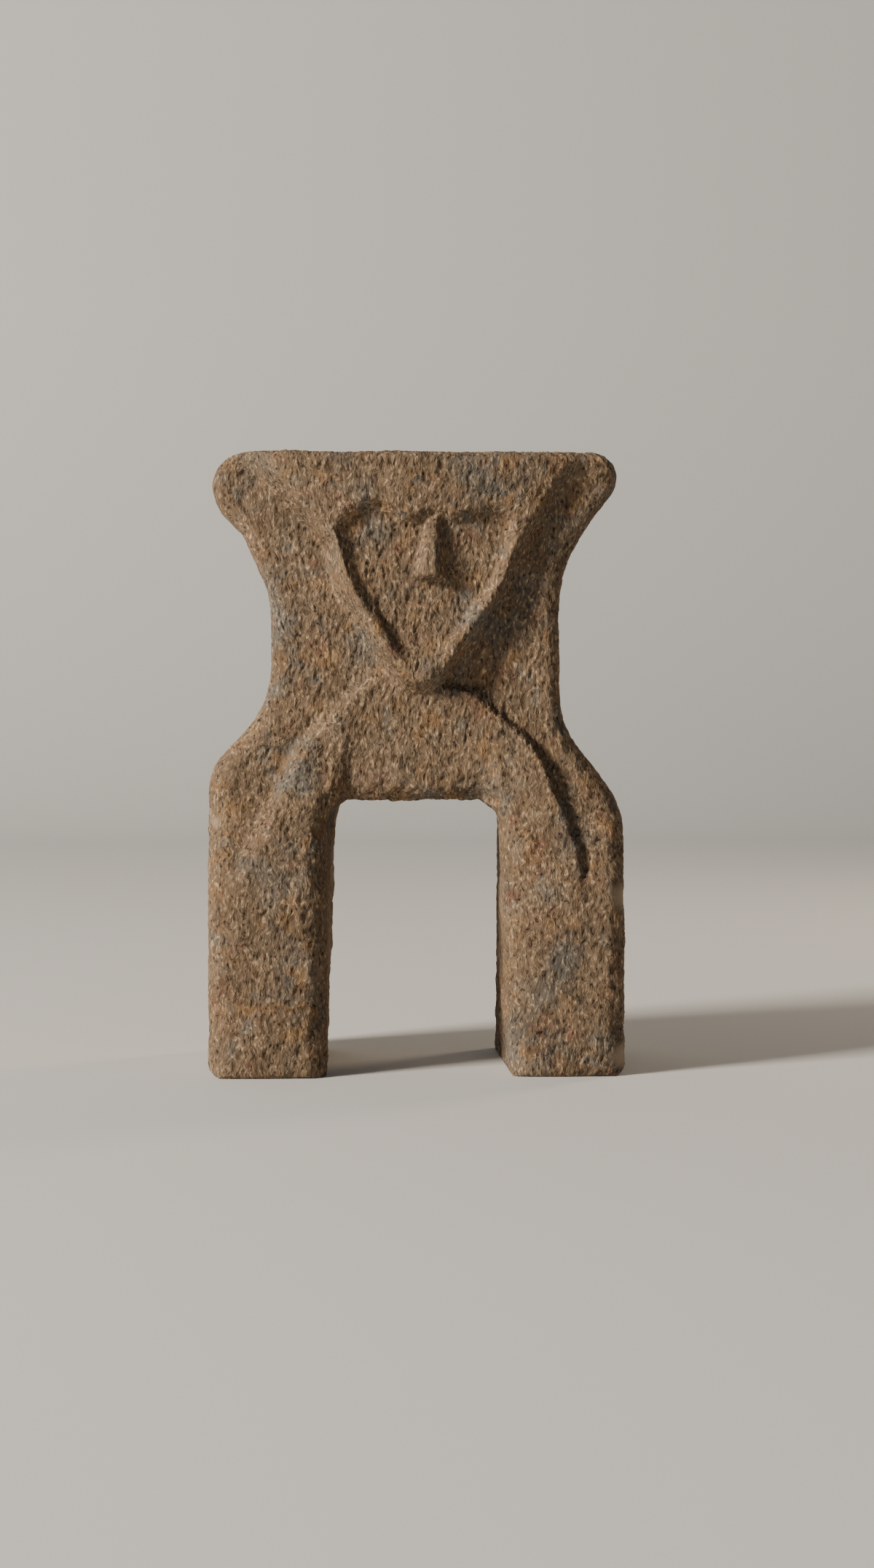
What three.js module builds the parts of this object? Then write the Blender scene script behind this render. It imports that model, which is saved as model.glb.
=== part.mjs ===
// Stone totem sculpture: one block of coarse brown stone, carved as a flat figure with two
// broad legs, a flaring head slab, a wedge-shaped mask and arms that run down into the legs.
// Millimetres, +Z up, origin on the ground under the middle of the figure, front towards -Y.

import * as THREE from 'three';

// Overall sizes
const HEIGHT = 320;
const LEG_OUTER = 107;
const FRONT_OF_LEGS = 58;
const BACK_AT_FEET = 58;
const BACK_AT_TOP = 50;

// Silhouette, corners given as [x, z, radius of the rounding]
const FOOT_ROUND = 7;
const HIP_LEFT = [-LEG_OUTER, 156.5, 28];
const WAIST_LEFT = [[-74.4, 191, 52], [-74.4, 245, 60]];
const FLARE_LEFT = [-89.5, 281, 30];
const TIP_LEFT = [-130.5, HEIGHT, 17.2];
const TIP_RIGHT = [117, HEIGHT, 13];
const WAIST_RIGHT = [[74, 264.5, 72], [74, 181, 60]];
const HIP_RIGHT = [LEG_OUTER, 140, 40];

// Opening between the legs; it turns a little to the right from front to back
const ARCH_TOP = 142;
const ARCH_ROUND = 13;
const ARCH_FRONT = { footLeft: -47, topLeft: -47.5, footRight: 49, topRight: 42 };
const ARCH_BACK = { footLeft: -45.5, topLeft: -40, footRight: 47, topRight: 48 };

// How far each carved level stands in front of the middle of the block
const WING_LEVEL = 38;
const FACE_LEVEL = 54;
const FACE_TURN = 4;
const FACE_CROWN = 2.5;
const SHOULDER_LEVEL = 45;
const CHEST_LEVEL = 42.5;
const LEG_CROWN = 2;

// Heights between which the hips and the arms come forward to the front of the legs
const HIP_FLUSH = 80;
const HIP_TOP = 170;
const ARM_FLUSH = 90;
const SHOULDER_TOP = 190;

// Carved outlines in front view, again [x, z, radius]
const CHIN = 203;
const HEAD_HALF = 60;
const HEAD = [
  [-83, 332, 0], [-40.5, 276, 10], [-34.5, 252, 30], [-8.5, 209.5, 12], [4, CHIN, 5],
  [11.5, 208, 8], [42, 252, 30], [51, 275, 20], [85, 332, 0],
];
const ARMS_AND_LEGS = [
  [-125, -30, 0], [-125, 20, 0], [-92, 96, 60], [-56, 168, 60], [-20, 203, 10],
  [26, 197, 10], [61, 168, 50], [80, 118, 60], [86, 60, 40], [125, -10, 0], [125, -30, 0],
];
const CHEST = [
  [-39, 110, 0], [-38, 165, 20], [-27, 192, 8], [29, 190, 8], [38, 165, 20], [40, 110, 0],
];
const FACE = [
  [-40, 284, 5], [-24, 297, 12], [-3, 284, 8], [8, 290, 4], [18, 286, 5], [34, 290, 20],
  [49, 287, 6], [46, 272, 10], [39, 253, 20], [9, 213, 7], [-6, 215, 7], [-31, 252, 20],
  [-37, 270, 10],
];

// Steepness of the carved steps: their width seen from the front
const CHEEK_WALL = { left: 9.5, right: 7 };
const TEMPLE_WALL = { left: 20, right: 9 };
const TEMPLE_FROM = 272;
const ARM_WALL = { left: 9, right: 5 };
const CHEST_WALL = 12;
const FACE_WALL = 7;
const HALFWAY = 0.5;
const FACE_RECESS = 5.5;
const CHIN_FADE = 26;

// Lip that the right end of the slab keeps under its top edge
const LIP_RIGHT = 7;
const LIP_LEFT = 1;
const LIP_HEIGHT = 20;

// Nose: a plain wedge, narrow at the bridge
const NOSE = { top: 290, base: 257.5, under: 4, bridgeX: 8.5, baseX: 6, bridgeHalf: 5, baseHalf: 10 };
const NOSE_AT_BRIDGE = 3.5;
const NOSE_AT_BASE = 10;
const NOSE_RISE = 6;
const NOSE_FLANK = 1.25;

// Rounding of the edges between the front, the back and the sides
const EDGE_TOP = 5;
const EDGE_WING = 7;
const EDGE_LEG = 11;
const EDGE_FOOT = 3.5;
const EDGE_BACK = 9;
const EDGE_WING_FROM = 216;
const EDGE_TOP_UNDER = 14;

// Fineness of the surface: strips across each band of the front, and through the thickness
const ARC_STEP = Math.PI / 18;
const COLUMNS = { edge: 3, outer: 2, wall: 3, inner: 5, middle: 15 };
const ROWS_LEG = [[0, 3.5, 2], [3.5, 10, 1], [10, 124, 10], [124, 138.2, 3]];
const ROWS_BODY = [[138.2, 192, 9], [192, 212, 7], [212, 255, 8], [255, 298, 11], [298, 314, 3], [314, 320, 3]];
const STRIPS_DEEP = 3;
const EDGE_BAND = 8.5;
const EDGE_STEPS = [0, 0.13, 0.42];
const RIM_FROM_EDGE = 17;
const LEAST_RIM = 27;
const LEAST_OUTER = 0.3;
const WALL_SLANT = 1.2;
const ARCH_FADE = 28;
const OVER_ARCH = 0.55;
const CHIN_BAND = { headFrom: 3, armsTo: -8, from: -4, height: 8 };
const BELOW_GROUND = 60;
const JUST_INSIDE = 0.01;

const clamp = (t) => Math.min(1, Math.max(0, t));
const smooth = (t) => clamp(t) ** 2 * (3 - 2 * clamp(t));
const mix = (a, b, t) => a + (b - a) * t;

/** Rounds the corners [x, z, radius] of a closed outline and returns its points in order. */
function roundedOutline(corners) {
  const points = [];
  corners.forEach(([x, z, radius], n) => {
    const corner = new THREE.Vector2(x, z);
    const before = corners.at(n - 1);
    const after = corners[(n + 1) % corners.length];
    const toBefore = new THREE.Vector2(before[0], before[1]).sub(corner).normalize();
    const toAfter = new THREE.Vector2(after[0], after[1]).sub(corner).normalize();
    const half = Math.acos(clampCosine(toBefore.dot(toAfter))) / 2;
    if (radius === 0) {
      points.push(corner);
      return;
    }
    const centre = toBefore.clone().add(toAfter).normalize().multiplyScalar(radius / Math.sin(half)).add(corner);
    const reach = radius / Math.tan(half);
    const start = toBefore.clone().multiplyScalar(reach).add(corner).sub(centre);
    const end = toAfter.clone().multiplyScalar(reach).add(corner).sub(centre);
    const turn = Math.atan2(start.cross(end), start.dot(end));
    const steps = Math.max(1, Math.ceil(Math.abs(turn) / ARC_STEP));
    for (let s = 0; s <= steps; s += 1) {
      points.push(start.clone().rotateAround(new THREE.Vector2(), (turn * s) / steps).add(centre));
    }
  });
  return points;
}

function clampCosine(value) {
  return Math.min(1, Math.max(-1, value));
}

/** Distance from a point to a closed outline, positive inside it. */
function depthInside(outline, x, z) {
  let nearest = Infinity;
  let inside = false;
  outline.forEach((end, n) => {
    const start = outline.at(n - 1);
    const dx = end.x - start.x;
    const dz = end.y - start.y;
    const along = clamp(((x - start.x) * dx + (z - start.y) * dz) / (dx * dx + dz * dz || 1));
    nearest = Math.min(nearest, Math.hypot(x - start.x - along * dx, z - start.y - along * dz));
    const crosses = start.y > z !== end.y > z;
    if (crosses && x < start.x + (dx * (z - start.y)) / dz) inside = !inside;
  });
  return inside ? nearest : -nearest;
}

/** All x where an outline crosses a height, from left to right. */
function crossings(outline, z) {
  const found = [];
  outline.forEach((end, n) => {
    const start = outline.at(n - 1);
    if (start.y > z !== end.y > z) {
      found.push(start.x + ((end.x - start.x) * (z - start.y)) / (end.y - start.y));
    }
  });
  return found.sort((a, b) => a - b);
}

/** The silhouette with the opening of the front or of the back, its feet cut off at a level. */
function silhouette(arch, ground) {
  return roundedOutline([
    [-LEG_OUTER, ground, FOOT_ROUND], HIP_LEFT, ...WAIST_LEFT, FLARE_LEFT, TIP_LEFT,
    TIP_RIGHT, ...WAIST_RIGHT, HIP_RIGHT, [LEG_OUTER, ground, FOOT_ROUND],
    [arch.footRight, ground, 0], [arch.topRight, ARCH_TOP, ARCH_ROUND],
    [arch.topLeft, ARCH_TOP, ARCH_ROUND], [arch.footLeft, ground, 0],
  ]);
}

const head = roundedOutline(HEAD);
const armsAndLegs = roundedOutline(ARMS_AND_LEGS);
const chest = roundedOutline(CHEST);
const face = roundedOutline(FACE);
const frontOutline = silhouette(ARCH_FRONT, 0);
const backOutline = silhouette(ARCH_BACK, 0);
const frontEdges = silhouette(ARCH_FRONT, -BELOW_GROUND);
const backEdges = silhouette(ARCH_BACK, -BELOW_GROUND);

/** Level of the wings beside the head, of the lip over them and of the hips below. */
function groundLevel(x, z) {
  const hips = mix(FRONT_OF_LEGS, WING_LEVEL, smooth((z - HIP_FLUSH) / (HIP_TOP - HIP_FLUSH)));
  const lip = x > 0 ? LIP_RIGHT : LIP_LEFT;
  return hips + lip * smooth((z - HEIGHT + LIP_HEIGHT) / LIP_HEIGHT);
}

/** Level of the arms and legs, crowned over each leg, and of the chest that is sunk between them. */
function limbLevel(x, z) {
  const arms = mix(FRONT_OF_LEGS, SHOULDER_LEVEL, smooth((z - ARM_FLUSH) / (SHOULDER_TOP - ARM_FLUSH)));
  const legMiddle = (LEG_OUTER + ARCH_FRONT.footRight) / 2;
  const offMiddle = (Math.abs(x) - legMiddle) / (LEG_OUTER - legMiddle);
  const crowned = arms - LEG_CROWN * Math.min(1, offMiddle ** 2);
  return mix(crowned, CHEST_LEVEL, smooth(depthInside(chest, x, z) / CHEST_WALL + HALFWAY));
}

/** Height of the nose over the face: it grows from the bridge down and stops short at its base. */
function noseHeight(x, z) {
  const down = (NOSE.top - z) / (NOSE.top - NOSE.base);
  const middle = mix(NOSE.bridgeX, NOSE.baseX, clamp(down));
  const half = mix(NOSE.bridgeHalf, NOSE.baseHalf, clamp(down));
  const height = mix(NOSE_AT_BRIDGE, NOSE_AT_BASE, clamp(down)) * smooth(down * NOSE_RISE);
  const under = smooth((z - NOSE.base + NOSE.under) / NOSE.under);
  return height * under * smooth(NOSE_FLANK * (1 - Math.abs(x - middle) / half));
}

/** Level of the mask: crowned, turned a little to the right, a dish inside its rim, and the nose. */
function maskLevel(x, z) {
  const chinward = smooth((z - CHIN) / CHIN_FADE);
  const dish = FACE_RECESS * chinward * smooth(depthInside(face, x, z) / FACE_WALL + HALFWAY);
  const across = x / HEAD_HALF;
  const plane = FACE_LEVEL - (FACE_TURN * across) / 2 - FACE_CROWN * across * across;
  return plane - dish + noseHeight(x, z);
}

/** Width of the sloping wall round the head, which opens out towards the top of the left temple. */
function headWall(side, z) {
  return mix(CHEEK_WALL[side], TEMPLE_WALL[side], smooth((z - TEMPLE_FROM) / (HEIGHT - TEMPLE_FROM)));
}

/** How far the carved front stands out at a place of the front view, before its edges are rounded. */
function frontLevel(x, z) {
  const side = x < 0 ? 'left' : 'right';
  const limbs = smooth(depthInside(armsAndLegs, x, z) / ARM_WALL[side] + 1);
  const body = mix(groundLevel(x, z), limbLevel(x, z), limbs);
  return mix(body, maskLevel(x, z), smooth(depthInside(head, x, z) / headWall(side, z) + 1));
}

/** Quarter-round fall of an edge: nothing from the radius inwards, the whole radius at the outline. */
function edgeFall(inside, radius) {
  const short = radius - Math.min(radius, Math.max(0, inside));
  return radius - Math.sqrt(radius * radius - short * short);
}

/** Rounding of the front edges: full on the legs, finer on the wings and along the top. */
function edgeRadius(z) {
  const wing = mix(EDGE_LEG, EDGE_WING, smooth((z - ARCH_TOP) / (EDGE_WING_FROM - ARCH_TOP)));
  return mix(wing, EDGE_TOP, smooth((z - HEIGHT + EDGE_TOP_UNDER) / EDGE_WING));
}

/** Depth of the carved front, its edges rounded along the sides and under the feet. */
function frontY(x, z) {
  const sides = edgeFall(depthInside(frontEdges, x, z), edgeRadius(z));
  return Math.max(sides, edgeFall(z, EDGE_FOOT)) - frontLevel(x, z);
}

/** Depth of the plain back, which leans a little forward. */
function backY(x, z) {
  const sides = edgeFall(depthInside(backEdges, x, z), EDGE_BACK);
  return mix(BACK_AT_FEET, BACK_AT_TOP, smooth(z / HEIGHT)) - Math.max(sides, edgeFall(z, EDGE_FOOT));
}

/** Evenly spaced values in each band [from, to, steps], joined end to end. */
function bands(list) {
  return list.flatMap(([from, to, steps], n) => {
    const first = n === 0 ? 0 : 1;
    return Array.from({ length: steps + 1 - first }, (_, s) => mix(from, to, (s + first) / steps));
  });
}

const legRows = bands(ROWS_LEG);
const bodyRows = bands(ROWS_BODY);
const rows = [...legRows, ...bodyRows.slice(1)];
const archRow = legRows.length - 1;
const cornerInset = ARCH_ROUND * (1 - Math.SQRT1_2);

/** Height of the soffit of the opening at x, level with its rounded corners at both ends. */
function soffit(x, left, right) {
  const fromCorner = Math.min(x - left, right - x) + cornerInset;
  return ARCH_TOP - edgeFall(fromCorner, ARCH_ROUND);
}

/** Rims of the head, or below it of the arms, which the columns follow; never closer than LEAST_RIM. */
function rimsAt(z) {
  const ofHead = crossings(head, Math.max(z, CHIN + CHIN_BAND.headFrom));
  const ofArms = crossings(armsAndLegs, Math.min(z, CHIN + CHIN_BAND.armsTo));
  const above = smooth((z - CHIN - CHIN_BAND.from) / CHIN_BAND.height);
  const left = mix(ofArms[0], ofHead[0], above);
  const right = mix(ofArms.at(-1), ofHead.at(-1), above);
  return [Math.min(left, -LEAST_RIM), Math.max(right, LEAST_RIM)];
}

/** The x of every column at a height: bands between the silhouette, the carved rims and the opening. */
function columnsAt(row, outline) {
  const z = Math.min(Math.max(rows[row], JUST_INSIDE), HEIGHT - JUST_INSIDE);
  const [left, right] = [crossings(outline, z)[0], crossings(outline, z).at(-1)];
  const [leftEdge, rightEdge] = [left + EDGE_BAND, right - EDGE_BAND];
  const rims = rimsAt(z);
  const rimLeft = Math.max(rims[0], left + RIM_FROM_EDGE);
  const rimRight = Math.min(rims[1], right - RIM_FROM_EDGE);
  const slantLeft = rimLeft - WALL_SLANT * headWall('left', z);
  const slantRight = rimRight + WALL_SLANT * headWall('right', z);
  const wallLeft = Math.max(slantLeft, mix(leftEdge, rimLeft, LEAST_OUTER));
  const wallRight = Math.min(slantRight, mix(rightEdge, rimRight, LEAST_OUTER));
  const opening = crossings(outline, Math.min(z, rows[archRow] - JUST_INSIDE));
  const closed = smooth((z - rows[archRow]) / ARCH_FADE);
  const archLeft = mix(opening[1], rimLeft * OVER_ARCH, closed);
  const archRight = mix(opening[2], rimRight * OVER_ARCH, closed);
  const edge = (from, towards) => EDGE_STEPS.map((t) => mix(from, towards, t));
  const spread = (from, to, steps) => Array.from({ length: steps }, (_, s) => mix(from, to, s / steps));
  return [
    ...edge(left, leftEdge),
    ...spread(leftEdge, wallLeft, COLUMNS.outer),
    ...spread(wallLeft, rimLeft, COLUMNS.wall),
    ...spread(rimLeft, archLeft, COLUMNS.inner),
    ...spread(archLeft, archRight, COLUMNS.middle),
    ...spread(archRight, rimRight, COLUMNS.inner),
    ...spread(rimRight, wallRight, COLUMNS.wall),
    ...spread(wallRight, rightEdge, COLUMNS.outer),
    rightEdge,
    ...edge(right, rightEdge).reverse(),
  ];
}

const columns = COLUMNS.edge + COLUMNS.outer + COLUMNS.wall + COLUMNS.inner;
const archFirst = columns;
const archLast = columns + COLUMNS.middle;
const lastColumn = 2 * columns + COLUMNS.middle;

/** Places of the lattice on the front or the back face, in rows from the ground up. */
function latticeOf(outline, arch, depthAt) {
  return rows.map((level, row) => columnsAt(row, outline).map((x, column) => {
    const overArch = column >= archFirst && column <= archLast && row >= archRow;
    const left = arch.topLeft + cornerInset;
    const right = arch.topRight - cornerInset;
    const rise = overArch ? soffit(x, left, right) - rows[archRow] : 0;
    const z = level + rise * (1 - smooth((level - rows[archRow]) / ARCH_FADE));
    return new THREE.Vector3(x, depthAt(x, z), z);
  }));
}

const frontLattice = latticeOf(frontOutline, ARCH_FRONT, frontY);
const backLattice = latticeOf(backOutline, ARCH_BACK, backY);

/** Skins the lattice: front, back, and strips through the thickness wherever a cell has no neighbour. */
function carvedStone() {
  const places = [];
  const faces = [];
  const numbers = new Map();
  const at = (column, row, deep) => {
    const key = `${column},${row},${deep}`;
    if (!numbers.has(key)) {
      const place = frontLattice[row][column].clone().lerp(backLattice[row][column], deep / STRIPS_DEEP);
      numbers.set(key, places.length);
      places.push(place);
    }
    return numbers.get(key);
  };
  const quad = (a, b, c, d) => {
    const acrossFirst = places[a].distanceToSquared(places[c]);
    const acrossSecond = places[b].distanceToSquared(places[d]);
    faces.push(...(acrossFirst < acrossSecond ? [a, b, c, a, c, d] : [a, b, d, b, c, d]));
  };
  const solid = (column, row) => {
    const within = column >= 0 && column < lastColumn && row >= 0 && row < rows.length - 1;
    const opened = column >= archFirst && column < archLast && row < archRow;
    return within && !opened;
  };
  const strip = (c0, r0, c1, r1) => {
    for (let deep = 0; deep < STRIPS_DEEP; deep += 1) {
      quad(at(c0, r0, deep), at(c0, r0, deep + 1), at(c1, r1, deep + 1), at(c1, r1, deep));
    }
  };
  for (let row = 0; row < rows.length - 1; row += 1) {
    for (let column = 0; column < lastColumn; column += 1) {
      if (!solid(column, row)) continue;
      const [c, r] = [column + 1, row + 1];
      quad(at(column, row, 0), at(c, row, 0), at(c, r, 0), at(column, r, 0));
      quad(at(column, row, STRIPS_DEEP), at(column, r, STRIPS_DEEP), at(c, r, STRIPS_DEEP), at(c, row, STRIPS_DEEP));
      if (!solid(column, row - 1)) strip(column, row, c, row);
      if (!solid(column + 1, row)) strip(c, row, c, r);
      if (!solid(column, row + 1)) strip(c, r, column, r);
      if (!solid(column - 1, row)) strip(column, r, column, row);
    }
  }
  const geometry = new THREE.BufferGeometry();
  geometry.setAttribute('position', new THREE.Float32BufferAttribute(places.flatMap((p) => p.toArray()), 3));
  geometry.setIndex(faces);
  geometry.computeVertexNormals();
  return geometry;
}

const stone = new THREE.MeshStandardMaterial({ color: 0x6e5842, roughness: 1, metalness: 0 });
const figure = new THREE.Mesh(carvedStone(), stone);
figure.name = 'carved_stone_figure';

const totem = new THREE.Group();
totem.add(figure);

export default totem;
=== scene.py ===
"""Stone totem sculpture: one block of coarse brown stone, carved as a standing figure.

The figure is one piece. Its form is a function of the front view (x to the right, z up), worked
out on a fine lattice, and its weathered skin is random relief along the surface's own normals.
All sizes are millimetres, turned to metres where a mesh, a light or the camera is made.
"""

from __future__ import annotations

import logging
import math
from dataclasses import dataclass, field

import bpy
import numpy as np
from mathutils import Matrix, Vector

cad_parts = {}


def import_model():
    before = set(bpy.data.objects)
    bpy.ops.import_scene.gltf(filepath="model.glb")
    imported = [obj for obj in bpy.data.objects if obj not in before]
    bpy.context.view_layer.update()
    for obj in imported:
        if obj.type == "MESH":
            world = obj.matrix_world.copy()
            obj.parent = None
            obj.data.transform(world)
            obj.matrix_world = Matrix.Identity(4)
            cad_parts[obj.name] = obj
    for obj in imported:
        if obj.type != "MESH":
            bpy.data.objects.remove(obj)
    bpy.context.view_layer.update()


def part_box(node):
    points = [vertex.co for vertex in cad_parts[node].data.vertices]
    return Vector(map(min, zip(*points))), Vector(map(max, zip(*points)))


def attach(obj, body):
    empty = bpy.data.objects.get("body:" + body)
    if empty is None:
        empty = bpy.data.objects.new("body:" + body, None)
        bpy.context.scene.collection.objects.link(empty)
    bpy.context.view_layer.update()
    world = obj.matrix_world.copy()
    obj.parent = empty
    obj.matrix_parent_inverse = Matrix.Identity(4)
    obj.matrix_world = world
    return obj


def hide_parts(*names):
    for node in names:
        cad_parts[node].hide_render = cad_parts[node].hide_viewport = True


MM = 0.001
NODE = "carved_stone_figure"
SLOT = "coarse_brown_stone"
TINY = 1e-9

log = logging.getLogger("totem")

Corner = tuple[float, float, float]


def smooth(t: np.ndarray | float) -> np.ndarray | float:
    """Smooth step 3t^2 - 2t^3 of t held between 0 and 1.

    Args:
        t: How far along the step, 0 at its start and 1 at its end.

    Returns:
        The eased value, 0 to 1.
    """
    held = np.clip(t, 0.0, 1.0)
    return held * held * (3.0 - 2.0 * held)


def mix(a: np.ndarray | float, b: np.ndarray | float, t: np.ndarray | float) -> np.ndarray | float:
    """Straight blend a + (b - a) t.

    Args:
        a: Value where t is 0.
        b: Value where t is 1.
        t: Share of b.

    Returns:
        The blended value.
    """
    return a + (b - a) * t


def quarter_round(inside: np.ndarray, radius: np.ndarray | float) -> np.ndarray:
    """Fall of a rounded edge: radius - sqrt(radius^2 - short^2), short = what inside lacks of radius.

    Args:
        inside: Distance in from the edge.
        radius: Radius of the rounding.

    Returns:
        How far the surface has fallen back, the whole radius at the edge itself.
    """
    short = radius - np.clip(inside, 0.0, radius)
    return radius - np.sqrt(np.maximum(radius * radius - short * short, 0.0))


@dataclass(frozen=True)
class Outline:
    """A closed outline in the front view, as corners (x, z, radius of the rounding)."""

    corners: tuple[Corner, ...]
    arc_step: float = math.pi / 36

    def points(self) -> np.ndarray:
        """Walk the corners, each rounded one as an arc that touches its two sides.

        Returns:
            The outline's points (x, z) in order.
        """
        found = []
        for n, (x, z, radius) in enumerate(self.corners):
            corner = np.array([x, z], float)
            if radius == 0.0:
                found.append(corner[None, :])
                continue
            before = np.array(self.corners[n - 1][:2]) - corner
            after = np.array(self.corners[(n + 1) % len(self.corners)][:2]) - corner
            before /= np.hypot(*before)
            after /= np.hypot(*after)
            half = math.acos(float(np.clip(before @ after, -1.0, 1.0))) / 2
            middle = (before + after) / np.hypot(*(before + after))
            centre = corner + middle * radius / math.sin(half)
            start = corner + before * radius / math.tan(half) - centre
            end = corner + after * radius / math.tan(half) - centre
            turn = math.atan2(start[0] * end[1] - start[1] * end[0], start @ end)
            angles = np.linspace(0.0, turn, max(2, math.ceil(abs(turn) / self.arc_step) + 1))
            cos, sin = np.cos(angles), np.sin(angles)
            arc = np.stack([start[0] * cos - start[1] * sin, start[0] * sin + start[1] * cos], axis=1)
            found.append(centre + arc)
        return np.concatenate(found)

    def depth(self, x: np.ndarray, z: np.ndarray) -> np.ndarray:
        """Distance of places to the outline: the nearest of its sides, positive inside it.

        Args:
            x: Places' x.
            z: Places' z.

        Returns:
            Signed distances, in the shape of x.
        """
        points = self.points()
        nearest = np.full(x.shape, np.inf)
        inside = np.zeros(x.shape, bool)
        for (x0, z0), (x1, z1) in zip(np.roll(points, 1, axis=0), points):
            dx, dz = x1 - x0, z1 - z0
            along = ((x - x0) * dx + (z - z0) * dz) / max(dx * dx + dz * dz, TINY)
            along = np.clip(along, 0.0, 1.0)
            nearest = np.minimum(nearest, np.hypot(x - x0 - along * dx, z - z0 - along * dz))
            if z0 != z1:
                inside ^= ((z0 > z) != (z1 > z)) & (x < x0 + dx * (z - z0) / dz)
        return np.where(inside, nearest, -nearest)

    def crossings(self, z: np.ndarray) -> np.ndarray:
        """Where the outline crosses each height, from left to right.

        Args:
            z: Heights, in one row.

        Returns:
            One row of x for each height, filled up with infinity.
        """
        points = self.points()
        x0, z0 = np.roll(points, 1, axis=0).T
        x1, z1 = points.T
        met = (z0 > z[:, None]) != (z1 > z[:, None])
        rise = np.where(z1 == z0, TINY, z1 - z0)
        return np.sort(np.where(met, x0 + (x1 - x0) * (z[:, None] - z0) / rise, np.inf), axis=1)

    def sides(self, z: np.ndarray) -> tuple[np.ndarray, np.ndarray]:
        """The outline's outermost x at each height.

        Args:
            z: Heights, in one row.

        Returns:
            The left side and the right side.
        """
        met = self.crossings(z)
        return met[:, 0], np.where(np.isfinite(met), met, -np.inf).max(axis=1)


@dataclass(frozen=True)
class Arch:
    """One face's end of the opening between the legs: the x of its sides at the ground and on top."""

    foot_left: float
    top_left: float
    foot_right: float
    top_right: float


@dataclass(frozen=True)
class Silhouette:
    """The figure's front view: broad legs, a drawn-in waist and a flaring slab on top."""

    leg_outer: float
    height: float
    foot_round: float = 7.0
    hip_left: tuple[float, float] = (156.5, 28.0)
    waist_left: tuple[Corner, ...] = ((-74.4, 191.0, 52.0), (-74.4, 245.0, 60.0), (-89.5, 281.0, 30.0))
    tip_left: tuple[float, float] = (-130.5, 17.2)
    tip_right: tuple[float, float] = (117.0, 13.0)
    waist_right: tuple[Corner, ...] = ((74.0, 264.5, 72.0), (74.0, 181.0, 60.0))
    hip_right: tuple[float, float] = (140.0, 40.0)
    arch_top: float = 142.0
    arch_round: float = 13.0
    arch_front: Arch = Arch(-47.0, -47.5, 49.0, 42.0)
    arch_back: Arch = Arch(-45.5, -40.0, 47.0, 48.0)
    below_ground: float = 60.0

    def outline(self, arch: Arch, ground: float = 0.0) -> Outline:
        """The silhouette with the opening of one face, its feet cut off at a level.

        Args:
            arch: The opening's end on that face.
            ground: Level at which the feet are cut off.

        Returns:
            The closed outline, clockwise as seen from the front.
        """
        return Outline((
            (-self.leg_outer, ground, self.foot_round), (-self.leg_outer, *self.hip_left),
            *self.waist_left, (self.tip_left[0], self.height, self.tip_left[1]),
            (self.tip_right[0], self.height, self.tip_right[1]), *self.waist_right,
            (self.leg_outer, *self.hip_right), (self.leg_outer, ground, self.foot_round),
            (arch.foot_right, ground, 0.0), (arch.top_right, self.arch_top, self.arch_round),
            (arch.top_left, self.arch_top, self.arch_round), (arch.foot_left, ground, 0.0),
        ))

    @property
    def corner_inset(self) -> float:
        """How far the middle of the opening's rounded top corner is from both its sides."""
        return self.arch_round * (1.0 - math.sqrt(0.5))

    def soffit(self, x: np.ndarray, arch: Arch) -> np.ndarray:
        """Height of the opening's top, level but for the outer halves of its rounded corners.

        Args:
            x: Places across the opening.
            arch: The opening's end on that face.

        Returns:
            The height at each place.
        """
        left, right = arch.top_left + self.corner_inset, arch.top_right - self.corner_inset
        from_corner = np.minimum(x - left, right - x) + self.corner_inset
        return self.arch_top - quarter_round(from_corner, self.arch_round)


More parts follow.
